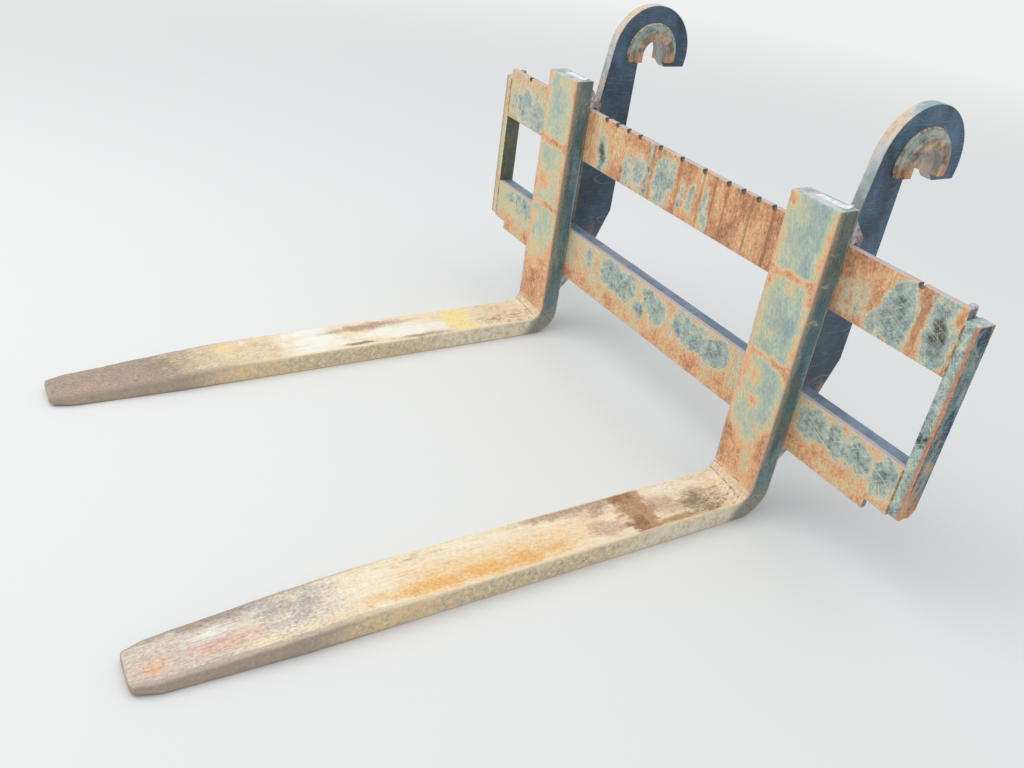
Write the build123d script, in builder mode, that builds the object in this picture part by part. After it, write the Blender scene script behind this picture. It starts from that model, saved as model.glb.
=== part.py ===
from build123d import *
import math
import os

# Pallet fork attachment: a two-rail fork carriage on two hook-on hangers, with two fork arms that
# slide along the rails. Millimetres, +Z up, +X to the right seen from the front, fork tips towards -Y.
# The origin lies on the floor, in the middle of the whole length and width.
os.makedirs("parts", exist_ok=True)

# Fork arms
fork_spacing = 832
fork_width = 120
fork_height = 670
shank_thickness = 50
blade_length = 1200
blade_thickness = 44
blade_taper_length = 380
blade_tip_thickness = 21
heel_outer_radius = 65
heel_inner_radius = 35
tip_width = 79
tip_corner_length = 40
tip_corner_width = 102
tip_taper_length = 260
tip_corner_radius = 9
tip_bevel_length = 75
tip_bevel_rise = 5
fork_edge_round = 3

# Carriage rails
rail_length = 1462
rail_height = 127
rail_thickness = 40
upper_rail_top = 604
lower_rail_bottom = 166
lip_thickness = 12
lip_height = 22
lower_lip_length = 1362
rail_edge_round = 2
notch_width = 10
notch_depth = 8
# Distance of each latch notch from the middle of the rail; every one but the first is mirrored
notch_distances = (0, 76, 152, 196, 240, 284, 416, 636)

# End bars and the stops at the rail's ends
end_bar_thickness = 27
end_bar_depth = 42
end_bar_top_drop = 20
end_bar_foot_rise = 26
end_bar_foot_slope = 14
end_bar_round = 3
stop_radius = 8
stop_height = 21
stop_inset = 12

# Hangers that hook over a cross pin, with a lock eye at the foot
hanger_spacing = 828
hanger_thickness = 25
hanger_setback = 15
hanger_lean = 8
hanger_edge_round = 2
hook_offset = 149
hook_height = 722
hook_head_radius = 114
hook_pin_radius = 35
hook_pin_clearance = 1
nose_drop = 30
nose_lead = 12
collar_radius = 70
collar_thickness = 8
collar_step_radius = 58
collar_step_thickness = 7
collar_drop = 17
foot_slope_top = 318
foot_slope_height = 73
foot_slope_depth = 31
lock_eye_offset = 49
lock_eye_height = 205
lock_eye_radius = 46
lock_bush_radius = 32
lock_bush_length = 55
lock_pin_radius = 20
lock_pin_clearance = 0.5

# Fork hooks and latches
hook_block_depth = 30
top_hook_rise = 46
top_hook_shoulder = 12
top_hook_lip = 16
bottom_hook_drop = 48
bottom_hook_lip = 16
bottom_hook_width = 100
relief_radius = 4
latch_pin_radius = 6
latch_hole_clearance = 0.3
latch_lift = 5
latch_handle_radius = 4
latch_handle_length = 54
latch_handle_rise = 8

# Running clearances
rail_clearance = 1
hook_clearance = 2
seat_clearance = 0.3
hook_bottom_clearance = 3

# Where the shank's front face stands, so that the origin is in the middle of the whole length
hook_reach = shank_thickness + rail_clearance + rail_thickness + hook_offset + hook_head_radius
shank_front = (blade_length - hook_reach) / 2
shank_back = shank_front + shank_thickness
tip_front = shank_front - blade_length
rail_front = shank_back + rail_clearance
rail_back = rail_front + rail_thickness
lip_back = rail_front + lip_thickness
upper_rail_bottom = upper_rail_top - rail_height
upper_ledge = upper_rail_top - lip_height
end_bar_top = upper_rail_top - end_bar_top_drop
lower_rail_top = lower_rail_bottom + rail_height
lower_ledge = lower_rail_bottom + lip_height
end_bar_bottom = lower_rail_bottom + end_bar_foot_rise
hook_y = rail_back + hook_offset
hook_seat_radius = hook_pin_radius + hook_pin_clearance
lock_y = rail_back + lock_eye_offset
lock_bore_radius = lock_pin_radius + lock_pin_clearance

# Name of each side and its sign along X
sides = (("left", -1), ("right", 1))


def rail_section(lip_end, ledge, plain_end):
    """Section of a rail whose thin lip stands in line with its front face."""
    with BuildSketch(Plane.YZ) as section:
        with BuildLine():
            Polyline(
                (rail_front, plain_end),
                (rail_front, lip_end),
                (lip_back, lip_end),
                (lip_back, ledge),
                (rail_back, ledge),
                (rail_back, plain_end),
                close=True,
            )
        make_face()
        fillet(section.vertices(), radius=rail_edge_round)
    return section.sketch


# Upper rail, its lip notched for the fork latches
notch_spots = [(side * distance, upper_rail_top) for _, side in sides for distance in notch_distances]
notch_arc_height = notch_depth - notch_width / 2
upper_section = rail_section(upper_rail_top, upper_ledge, upper_rail_bottom)
with BuildPart() as upper_rail:
    extrude(upper_section, amount=rail_length / 2, both=True)
    with BuildSketch(Plane.XZ.offset(-lip_back)):
        with Locations(*notch_spots):
            Rectangle(notch_width, 2 * notch_arc_height)
        with Locations(*[(x, z - notch_arc_height) for x, z in notch_spots]):
            Circle(notch_width / 2)
    extrude(amount=lip_thickness, mode=Mode.SUBTRACT)
upper_rail.part.label = "upper_rail"
export_step(upper_rail.part, "parts/upper_rail.step")

# Lower rail, its lip cut away at both ends
lip_cut_length = (rail_length - lower_lip_length) / 2
lower_section = rail_section(lower_rail_bottom, lower_ledge, lower_rail_top)
with BuildPart() as lower_rail:
    extrude(lower_section, amount=rail_length / 2, both=True)
    for _, side in sides:
        with BuildSketch(Plane.YZ.offset(side * lower_lip_length / 2)):
            with Locations((rail_front, lower_rail_bottom)):
                Rectangle(rail_thickness, lip_height, align=(Align.MIN, Align.MIN))
        extrude(amount=side * lip_cut_length, mode=Mode.SUBTRACT)
lower_rail.part.label = "lower_rail"
export_step(lower_rail.part, "parts/lower_rail.step")

# End bars that close the frame, and round stops behind the lip at the rail's ends
end_bar_back = rail_front + end_bar_depth
stop_y = (lip_back + rail_back) / 2
stop_x = rail_length / 2 - stop_inset
for name, side in sides:
    bar_plane = Plane.YZ.offset(side * rail_length / 2)
    with BuildPart() as end_bar:
        with BuildSketch(bar_plane) as section:
            with BuildLine():
                Polyline(
                    (rail_front, end_bar_bottom),
                    (rail_front, end_bar_top),
                    (end_bar_back, end_bar_top),
                    (end_bar_back, end_bar_bottom + end_bar_foot_slope),
                    (end_bar_back - end_bar_foot_slope, end_bar_bottom),
                    close=True,
                )
            make_face()
            fillet(section.vertices(), radius=end_bar_round)
        extrude(amount=side * end_bar_thickness)
        outer_end = end_bar.faces().sort_by(Axis.X)[-1 if side > 0 else 0]
        fillet(outer_end.edges(), radius=end_bar_round)
    end_bar.part.label = f"end_bar_{name}"
    export_step(end_bar.part, f"parts/end_bar_{name}.step")

    with BuildPart() as end_stop:
        with BuildSketch(Plane.XY.offset(upper_ledge)):
            with Locations((side * stop_x, stop_y)):
                Circle(stop_radius)
        extrude(amount=stop_height)
        fillet(end_stop.faces().sort_by(Axis.Z)[-1].edges(), radius=stop_radius / 2)
    end_stop.part.label = f"end_stop_{name}"
    export_step(end_stop.part, f"parts/end_stop_{name}.step")


def half_ring(x, radius):
    """Ring round the pin seat, open downwards over the seat's width and cut level below."""
    downwards = (Align.CENTER, Align.MAX)
    with BuildSketch(Plane.YZ.offset(x)) as ring:
        with Locations((hook_y, hook_height)):
            Circle(radius)
            Circle(hook_seat_radius, mode=Mode.SUBTRACT)
            Rectangle(2 * hook_seat_radius, radius, align=downwards, mode=Mode.SUBTRACT)
        with Locations((hook_y, hook_height - collar_drop)):
            Rectangle(2 * radius, radius, align=downwards, mode=Mode.SUBTRACT)
    return ring.sketch


# Hangers: a plate behind the rails that rises to a hook over the cross pin
lean = math.radians(hanger_lean)
neck_back = hook_y - hook_seat_radius
nose_front = hook_y + hook_seat_radius
nose_bottom = hook_height - nose_drop
nose_angle = math.degrees(math.asin(nose_drop / hook_head_radius))
front_tangent = (hook_y - hook_head_radius * math.cos(lean), hook_height + hook_head_radius * math.sin(lean))
setback_z = front_tangent[1] - (front_tangent[0] - rail_back - hanger_setback) / math.tan(lean)
foot_back = neck_back - foot_slope_depth
foot_z = foot_slope_top - foot_slope_height
for name, side in sides:
    hanger_x = side * hanger_spacing / 2
    hanger_plane = Plane.YZ.offset(hanger_x)
    with BuildPart() as hanger:
        with BuildSketch(hanger_plane) as plate:
            with BuildLine():
                head = CenterArc(
                    (hook_y, hook_height), hook_head_radius, -nose_angle, 180 - hanger_lean + nose_angle
                )
                front = Polyline(
                    head @ 1,
                    (rail_back + hanger_setback, setback_z),
                    (rail_back, upper_ledge),
                    (rail_back, lower_ledge),
                    (lock_y, lower_ledge),
                    (foot_back, foot_z),
                    (neck_back, foot_slope_top),
                    (neck_back, hook_height),
                )
                seat = CenterArc((hook_y, hook_height), hook_seat_radius, 180, -180)
                Polyline(
                    seat @ 1,
                    (nose_front, nose_bottom + nose_lead),
                    (nose_front + nose_lead, nose_bottom),
                    head @ 0,
                )
            make_face()
            with Locations((lock_y, lock_eye_height)):
                Circle(lock_eye_radius)
            with Locations((lock_y, lock_eye_height)):
                Circle(lock_bush_radius, mode=Mode.SUBTRACT)
        extrude(amount=hanger_thickness / 2, both=True)
        arcs = hanger.edges().filter_by(GeomType.CIRCLE)
        fillet([arc for arc in arcs if math.isclose(arc.radius, hook_head_radius)], radius=hanger_edge_round)
    hanger.part.label = f"hanger_{name}"
    export_step(hanger.part, f"parts/hanger_{name}.step")

    # Stepped half-ring collars on both faces of the hook, concentric with the pin seat
    for face_name, face in (("inner", -1), ("outer", 1)):
        collar_x = hanger_x + side * face * hanger_thickness / 2
        step_x = collar_x + side * face * collar_thickness
        with BuildPart() as collar:
            extrude(half_ring(collar_x, collar_radius), amount=side * face * collar_thickness)
            extrude(half_ring(step_x, collar_step_radius), amount=side * face * collar_step_thickness)
        collar.part.label = f"hook_collar_{name}_{face_name}"
        export_step(collar.part, f"parts/hook_collar_{name}_{face_name}.step")

    # Bush in the lock eye
    with BuildPart() as lock_bush:
        with BuildSketch(hanger_plane):
            with Locations((lock_y, lock_eye_height)):
                Circle(lock_bush_radius)
                Circle(lock_bore_radius, mode=Mode.SUBTRACT)
        extrude(amount=lock_bush_length / 2, both=True)
    lock_bush.part.label = f"lock_bush_{name}"
    export_step(lock_bush.part, f"parts/lock_bush_{name}.step")

# Fork arms, their hooks and their latches
hook_back = shank_back + hook_block_depth
hook_lip_front = lip_back + hook_clearance
top_hook_seat = upper_rail_top + seat_clearance
top_hook_end = top_hook_seat - top_hook_lip
bottom_hook_shelf = lower_rail_bottom - hook_bottom_clearance
latch_y = (rail_front + lip_back) / 2
latch_hole_radius = latch_pin_radius + latch_hole_clearance
latch_foot = upper_rail_top + latch_lift
latch_handle_z = top_hook_seat + top_hook_rise + latch_handle_rise
for name, side in sides:
    fork_x = side * fork_spacing / 2
    fork_plane = Plane.YZ.offset(fork_x)

    # One forging: a level blade that thins and narrows towards its tip, and an upright shank
    with BuildPart() as fork_arm:
        with BuildSketch(fork_plane) as profile:
            with BuildLine():
                Polyline(
                    (tip_front, tip_bevel_rise),
                    (tip_front, blade_tip_thickness),
                    (tip_front + blade_taper_length, blade_thickness),
                    (shank_front, blade_thickness),
                    (shank_front, fork_height),
                    (shank_back, fork_height),
                    (shank_back, 0),
                    (tip_front + tip_bevel_length, 0),
                    close=True,
                )
            make_face()
            heel = profile.vertices().sort_by_distance((shank_front, blade_thickness))[0]
            fillet(heel, radius=heel_inner_radius)
            corner = profile.vertices().sort_by_distance((shank_back, 0))[0]
            fillet(corner, radius=heel_outer_radius)
        extrude(amount=fork_width / 2, both=True)
        with BuildSketch(Plane.XY) as plan:
            with BuildLine():
                Polyline(
                    (fork_x - tip_width / 2, tip_front),
                    (fork_x - tip_corner_width / 2, tip_front + tip_corner_length),
                    (fork_x - fork_width / 2, tip_front + tip_taper_length),
                    (fork_x - fork_width / 2, shank_back),
                    (fork_x + fork_width / 2, shank_back),
                    (fork_x + fork_width / 2, tip_front + tip_taper_length),
                    (fork_x + tip_corner_width / 2, tip_front + tip_corner_length),
                    (fork_x + tip_width / 2, tip_front),
                    close=True,
                )
            make_face()
            fillet(plan.vertices().group_by(Axis.Y)[0], radius=tip_corner_radius)
        extrude(amount=fork_height, mode=Mode.INTERSECT)
        fillet(fork_arm.edges(), radius=fork_edge_round)
    fork_arm.part.label = f"fork_arm_{name}"
    export_step(fork_arm.part, f"parts/fork_arm_{name}.step")

    # Top hook that hangs the fork on the upper rail's lip
    with BuildPart() as top_hook:
        with BuildSketch(fork_plane) as block:
            with BuildLine():
                Polyline(
                    (shank_back, top_hook_seat),
                    (shank_back, top_hook_seat + top_hook_rise),
                    (hook_back, top_hook_seat + top_hook_shoulder),
                    (hook_back, top_hook_end),
                    (hook_lip_front, top_hook_end),
                    (hook_lip_front, top_hook_seat),
                    close=True,
                )
            make_face()
            with Locations((hook_lip_front, top_hook_seat)):
                Circle(relief_radius, mode=Mode.SUBTRACT)
        extrude(amount=fork_width / 2, both=True)
        with BuildSketch(Plane.XY.offset(top_hook_seat)):
            with Locations((fork_x, latch_y)):
                Circle(latch_hole_radius)
        extrude(amount=top_hook_rise, mode=Mode.SUBTRACT)
    top_hook.part.label = f"top_hook_{name}"
    export_step(top_hook.part, f"parts/top_hook_{name}.step")

    # Bottom hook that reaches under and behind the lower rail's lip
    with BuildPart() as bottom_hook:
        with BuildSketch(fork_plane):
            with BuildLine():
                Polyline(
                    (shank_back, bottom_hook_shelf - bottom_hook_drop),
                    (shank_back, bottom_hook_shelf),
                    (hook_lip_front, bottom_hook_shelf),
                    (hook_lip_front, bottom_hook_shelf + bottom_hook_lip),
                    (hook_back, bottom_hook_shelf + bottom_hook_lip),
                    (hook_back, bottom_hook_shelf - bottom_hook_lip),
                    close=True,
                )
            make_face()
        extrude(amount=bottom_hook_width / 2, both=True)
    bottom_hook.part.label = f"bottom_hook_{name}"
    export_step(bottom_hook.part, f"parts/bottom_hook_{name}.step")

    # Latch pin, lifted clear of the notches, with a cross handle above the hook
    with BuildPart() as latch:
        with BuildSketch(Plane.XY.offset(latch_foot)):
            with Locations((fork_x, latch_y)):
                Circle(latch_pin_radius)
        extrude(amount=latch_handle_z - latch_foot)
        with BuildSketch(fork_plane):
            with Locations((latch_y, latch_handle_z)):
                Circle(latch_handle_radius)
        extrude(amount=latch_handle_length / 2, both=True)
    latch.part.label = f"latch_pin_{name}"
    export_step(latch.part, f"parts/latch_pin_{name}.step")
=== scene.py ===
import math

import bpy
from mathutils import Matrix, Vector, noise


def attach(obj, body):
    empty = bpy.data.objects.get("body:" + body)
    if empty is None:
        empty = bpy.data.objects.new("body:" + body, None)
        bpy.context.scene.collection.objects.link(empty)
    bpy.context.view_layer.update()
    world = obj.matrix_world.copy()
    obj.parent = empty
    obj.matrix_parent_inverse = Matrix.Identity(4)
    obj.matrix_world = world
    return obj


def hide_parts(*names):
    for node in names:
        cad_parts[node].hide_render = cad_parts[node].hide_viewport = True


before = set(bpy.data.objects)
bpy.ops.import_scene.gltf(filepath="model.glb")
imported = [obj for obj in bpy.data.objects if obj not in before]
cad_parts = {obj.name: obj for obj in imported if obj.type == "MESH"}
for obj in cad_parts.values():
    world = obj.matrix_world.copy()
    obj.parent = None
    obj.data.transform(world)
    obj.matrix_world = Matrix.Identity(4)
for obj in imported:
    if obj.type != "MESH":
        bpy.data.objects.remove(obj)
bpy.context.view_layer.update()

SIDES = (("left", -1), ("right", 1))


def srgb(red, green, blue):
    """Linear colour of an 8-bit sRGB colour."""
    parts = [value / 255 for value in (red, green, blue)]
    return tuple(v / 12.92 if v <= 0.04045 else ((v + 0.055) / 1.055) ** 2.4 for v in parts) + (1.0,)


def metres(*lengths):
    """Lengths in metres, given in millimetres."""
    return [length / 1000 for length in lengths]


def add(name, data):
    """New object in the scene."""
    thing = bpy.data.objects.new(name, data)
    bpy.context.scene.collection.objects.link(thing)
    return thing


# Colours
RUST = srgb(209, 150, 110)
RUST_LIGHT = srgb(224, 166, 123)
RUST_DEEP = srgb(189, 134, 98)
RUST_RED = srgb(200, 124, 92)
RUST_BROWN = srgb(154, 108, 82)
APRICOT = srgb(233, 180, 134)
CREAM_TAN = srgb(220, 192, 150)
YELLOW_TAN = srgb(224, 188, 140)
OLIVE_CREAM = srgb(206, 198, 156)
SAGE_CREAM = srgb(208, 204, 174)
SAGE = srgb(186, 194, 170)
TEAL = srgb(168, 185, 173)
TEAL_BLUE = srgb(148, 170, 168)
TEAL_DEEP = srgb(118, 138, 138)
CHARCOAL = srgb(62, 66, 56)
SLATE = srgb(124, 140, 162)
SLATE_PALE = srgb(84, 114, 138)
SLATE_DEEP = srgb(62, 90, 114)
SLATE_DARK = srgb(38, 52, 66)
SIDE_DARK = srgb(58, 82, 90)
SIDE_MID = srgb(90, 120, 124)
SIDE_PALE = srgb(124, 146, 142)
SIDE_BROWN = srgb(104, 104, 88)
PEACH = srgb(222, 190, 164)
PALE_LINE = srgb(204, 200, 204)
CREAM = srgb(241, 221, 186)
CREAM_LIGHT = srgb(246, 235, 210)
WHITE_GREEN = srgb(244, 243, 230)
WHITE_LILAC = srgb(210, 196, 184)
SAND = srgb(214, 192, 158)
OCHRE = srgb(240, 205, 154)
OCHRE_DEEP = srgb(236, 182, 110)
YELLOW = srgb(248, 224, 156)
BAND_BROWN = srgb(180, 136, 96)
BAND_DARK = srgb(146, 108, 78)
PINK_TAN = srgb(206, 174, 152)
PINK = srgb(226, 184, 164)
MAUVE = srgb(158, 141, 130)
MAUVE_BROWN = srgb(186, 154, 132)
GREY_VIOLET = srgb(164, 156, 150)
GREY_BROWN = srgb(142, 122, 98)
TAUPE = srgb(166, 150, 126)
DUST = srgb(190, 182, 162)
GRIT = srgb(98, 90, 78)
BARE = srgb(168, 166, 162)
LABEL_WHITE = srgb(230, 236, 238)

# Sizes repeated from the CAD model, in metres
SHANK_FRONT = 0.423
SHANK_BACK = 0.473
TIP_FRONT = -0.777
FORK_X = 0.416
FORK_WIDTH = 0.120
FORK_HEIGHT = 0.670
BLADE_THICKNESS = 0.044
TAPER_LENGTH = 0.380
TIP_THICKNESS = 0.021
TIP_RISE = 0.005
TIP_BEVEL = 0.075
HEEL_OUTER = 0.065
HEEL_INNER = 0.035
RAIL_FRONT = 0.474
RAIL_BACK = 0.514
RAIL_END = 0.731
UPPER_TOP = 0.604
UPPER_LEDGE = 0.582
UPPER_BOTTOM = 0.477
LOWER_TOP = 0.293
LOWER_LEDGE = 0.188
LOWER_BOTTOM = 0.166
HANGER_X = 0.414
HANGER_HALF = 0.0125
HOOK_Y = 0.663
HOOK_Z = 0.722

# Wear of the forged arms, in metres: edge radius and its growth at tip and heel, and depths
EDGE_RADIUS, TIP_WEAR, HEEL_WEAR = 0.0026, 0.0058, 0.0012
WAVE_DEPTH, DENT_DEPTH, NICK_DEPTH = 0.0007, 0.0003, 0.0024

# Weld beads in metres, those at the end bars by name, place out and back, radius and seed
BAR_WELDS = (
    ("front", RAIL_END + 0.0002, RAIL_FRONT + 0.0005, 0.0022, 1),
    ("back", RAIL_END - 0.001, RAIL_BACK + 0.0005, 0.004, 2),
)
# Beads at the forks' hooks by name, height, half length and seed
HOOK_WELDS = (("top", 0.6495, 0.050, 21), ("bottom", 0.1165, 0.044, 22))
# Radii of the other beads, gaps to the plates' ends, way off the hangers, and arc round the collars in degrees
HANGER_BEAD, COLLAR_BEAD, HOOK_BEAD = 0.0055, 0.004, 0.0045
BEAD_GAP, HANGER_GAP = 0.004, 0.006
HANGER_WELD, COLLAR_WELD = HANGER_HALF + 0.001, 0.0705
COLLAR_START, COLLAR_SWEEP, COLLAR_STEPS = -8, 196, 40

# Sticker on a shank's top, in metres from the fork's middle and its front
STICKER_X, STICKER_Y, STICKER_GAP = -0.022, 0.02, 0.0001
STICKER_LENGTH, STICKER_DEPTH, STICKER_THICKNESS = 0.072, 0.019, 0.0004
STICKER_SLANT, STICKER_PEEL = 0.002, 0.055


class Graph:
    """Node graph of a material or of the world."""

    def __init__(self, owner):
        owner.use_nodes = True
        self.owner = owner
        self.tree = owner.node_tree
        self.tree.nodes.clear()

    def new(self, kind, inputs=(), **settings):
        """Shader node, with each input a number, a colour or a socket."""
        node = self.tree.nodes.new("ShaderNode" + kind)
        for name, value in settings.items():
            setattr(node, name, value)
        for key, value in dict(inputs).items():
            if isinstance(value, bpy.types.NodeSocket):
                self.tree.links.new(value, node.inputs[key])
            else:
                node.inputs[key].default_value = value
        return node

    def math(self, operation, *values):
        return self.new("Math", enumerate(values), operation=operation).outputs[0]

    def chain(self, operation, values):
        """The operation over the values, from left to right."""
        result = values[0]
        for value in values[1:]:
            result = self.math(operation, result, value)
        return result

    def plus(self, *values):
        return self.chain("ADD", values)

    def minus(self, *values):
        return self.chain("SUBTRACT", values)

    def times(self, *values):
        return self.chain("MULTIPLY", values)

    def most(self, *values):
        return self.chain("MAXIMUM", values)

    def abs(self, value):
        return self.math("ABSOLUTE", value)


class Surface(Graph):
    """Graph of a new material in the model's own frame."""

    def __init__(self, name):
        super().__init__(bpy.data.materials.new(name))
        coordinates = self.new("TexCoord").outputs
        self.place = self.bent = coordinates["Object"]
        self.x, self.y, self.z = self.new("SeparateXYZ", {0: coordinates["Object"]}).outputs
        self.nx, self.ny, self.nz = self.new("SeparateXYZ", {0: coordinates["Normal"]}).outputs

    def distance(self, across, up):
        """Length of the way across and up."""
        return self.math("SQRT", self.plus(self.times(across, across), self.times(up, up)))

    def ramp(self, value, low, high):
        """0 at low, 1 at high, smooth between; low may be the larger."""
        inputs = {"Value": value, "From Min": low, "From Max": high}
        return self.new("MapRange", inputs, interpolation_type="SMOOTHSTEP").outputs[0]

    def mapped(self, size, stretch, shift, seed):
        """The place in stretched cells of the size, shifted by the seed."""
        scale = [1 / (size * part) for part in stretch]
        shift = [seed * part for part in shift]
        return self.new("Mapping", {"Vector": self.place, "Scale": scale, "Location": shift}).outputs[0]

    def noise(self, size, stretch=(1, 1, 1), detail=3.0, rough=0.6, seed=0, warp=0.0):
        """Cloudy value around 0.5 with features of about size metres."""
        place = self.mapped(size, stretch, (7.31, 3.17, 5.53), seed)
        inputs = {"Vector": place, "Scale": 1.0, "Detail": detail, "Roughness": rough, "Distortion": warp}
        return self.new("TexNoise", inputs).outputs[0]

    def cloud(self, size, threshold, soft, stretch=(1, 1, 1), **options):
        """Patches of 1 where the noise exceeds the threshold."""
        return self.ramp(self.noise(size, stretch, **options), threshold - soft, threshold + soft)

    def specks(self, size, share, radius, seed=0):
        """Round specks of 1, in a share of cells of about size metres."""
        cells = self.new("TexVoronoi", {"Vector": self.mapped(size, (1, 1, 1), (4.7, 9.1, 2.3), seed), "Scale": 1.0})
        red = self.new("SeparateXYZ", {0: cells.outputs["Color"]}).outputs[0]
        chosen = self.math("GREATER_THAN", red, 1 - share)
        return self.times(self.ramp(cells.outputs["Distance"], radius, radius * 0.5), chosen)

    def band(self, value, low, high, soft):
        """1 between low and high, fading over soft."""
        rise = self.ramp(value, low - soft, low + soft)
        return self.times(rise, self.ramp(value, high + soft, high - soft))

    def wander(self, value, reach, size, stretch=(1, 1, 1), seed=0):
        """The value moved up and down by noise."""
        cloud = self.noise(size, stretch, detail=4.0, seed=seed)
        return self.plus(value, self.times(self.minus(cloud, 0.5), 2 * reach))

    def warp(self, size, reach, seed=0):
        """From here on, noise pushes the ellipsoids about by the reach."""
        place = self.mapped(size, (1, 1, 1), (1.9, 2.7, 3.3), seed)
        cloud = self.new("TexNoise", {"Vector": place, "Scale": 1.0, "Detail": 6.0, "Roughness": 0.65})
        inputs = {0: cloud.outputs["Color"], 1: [part * 2 for part in reach], 2: [-part for part in reach]}
        push = self.new("VectorMath", inputs, operation="MULTIPLY_ADD")
        self.bent = self.new("VectorMath", {0: self.place, 1: push.outputs[0]}).outputs[0]

    def near(self, centre, radii):
        """1 at the middle of an ellipsoid, 0 half again outside it."""
        scale = [1 / radius for radius in radii]
        shift = [-middle / radius for middle, radius in zip(centre, radii)]
        place = self.new("Mapping", {"Vector": self.bent, "Scale": scale, "Location": shift}).outputs[0]
        return self.ramp(self.new("VectorMath", {0: place}, operation="LENGTH").outputs["Value"], 1.6, 0.15)

    def eaten(self, field, ragged):
        """The field with ragged borders; 0 where the field is."""
        return self.times(self.ramp(self.plus(field, ragged), 0.15, 0.95), self.ramp(field, 0.0, 0.25))

    def crumbs(self, size, stretch=(1, 1, 1), seed=0):
        """Noise spread over the whole range from 0 to 1."""
        cloud = self.noise(size, stretch, detail=6.0, rough=0.68, seed=seed)
        inputs = {"Value": cloud, "From Min": 0.30, "From Max": 0.70, "To Min": 0.06, "To Max": 0.94}
        return self.new("MapRange", inputs).outputs[0]

    def swing(self, size, reach, stretch=(1, 1, 1), seed=0):
        """Noise around 0, up to the reach on both sides."""
        return self.times(self.minus(self.crumbs(size, stretch, seed=seed), 0.5), 2 * reach)

    def tones(self, value, *stops):
        """Colour by the value, through stops."""
        node = self.new("ValToRGB", {0: value})
        elements = node.color_ramp.elements
        elements[0].position, elements[0].color = stops[0]
        elements[1].position, elements[1].color = stops[-1]
        for place, colour in stops[1:-1]:
            elements.new(place).color = colour
        return node.outputs[0]

    def grained(self, colour, amount, size=0.0022, stretch=(1, 1, 1), seed=0):
        """The colour with fine light and dark grain."""
        return self.over(colour, self.crumbs(size, stretch, seed=seed), amount, blend="OVERLAY")

    def scratches(self, turn, length, width, rarity, seed=0):
        """Thin straight scratches, turned about the Y axis by degrees."""
        place = self.new("Mapping", {
            "Vector": self.place, "Location": (seed * 0.71, seed * 0.37, seed * 0.53),
            "Rotation": (0.0, math.radians(turn), 0.0), "Scale": (length, length, width),
        }, vector_type="TEXTURE").outputs[0]
        cloud = self.new("TexNoise", {"Vector": place, "Scale": 1.0, "Detail": 1.0}).outputs[0]
        return self.ramp(cloud, rarity, rarity + 0.05)

    def lines(self, size, width, stretch=(1, 1, 1), seed=0, warp=0.0):
        """Thin curved scratches along the contours of a noise."""
        cloud = self.noise(size, stretch, detail=0.0, seed=seed, warp=warp)
        return self.ramp(self.abs(self.minus(cloud, 0.5)), width, width * 0.3)

    def over(self, under, top, mask, *amounts, blend="MIX"):
        """The top colour laid over the under one by the mask times the amounts."""
        inputs = {0: self.times(mask, *amounts), 6: under, 7: top}
        return self.new("Mix", inputs, data_type="RGBA", blend_type=blend).outputs[2]

    def level(self, low, high, mask):
        """Number from low to high by the mask."""
        return self.new("Mix", {0: mask, 2: low, 3: high}).outputs[0]

    def finish(self, colour, roughness, height, depth, metallic=0.0, specular=0.4):
        """The finished material, with its height as a bump of the depth."""
        bump = self.new("Bump", {"Height": height, "Strength": 0.8, "Distance": depth})
        shader = self.new("BsdfPrincipled", {
            "Base Color": colour, "Roughness": roughness, "Metallic": metallic, "Specular IOR Level": specular,
            "Normal": bump.outputs[0],
        })
        self.new("OutputMaterial", {"Surface": shader.outputs[0]})
        return self.owner


def rust_body(g, seed, stretch=(1, 1, 3), shift=0.0):
    """Rust from brown through orange to tan, in stretched grains, paler by the shift."""
    fine = g.noise(0.008, stretch, detail=9, rough=0.8, seed=seed)
    wide = g.noise(0.05, stretch, detail=5, seed=seed + 1)
    value = g.plus(g.times(g.minus(fine, 0.5), 1.5), g.times(g.minus(wide, 0.5), 1.2), g.plus(shift, 0.5))
    colour = g.tones(
        value, (0.2, RUST_BROWN), (0.34, RUST_DEEP), (0.45, RUST), (0.55, RUST_LIGHT), (0.65, APRICOT),
        (0.76, CREAM_TAN), (0.9, SAGE_CREAM),
    )
    red = g.cloud(0.022, 0.56, 0.09, stretch, detail=6, rough=0.7, seed=seed + 2)
    colour = g.over(colour, RUST_RED, red, g.ramp(value, 0.62, 0.45), 0.5)
    flecks = g.cloud(0.005, 0.56, 0.09, stretch, detail=4, rough=0.7, seed=seed + 6)
    colour = g.over(colour, OLIVE_CREAM, flecks, 0.35)
    return g.grained(colour, 0.5, 0.0042, seed=seed + 3)


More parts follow.
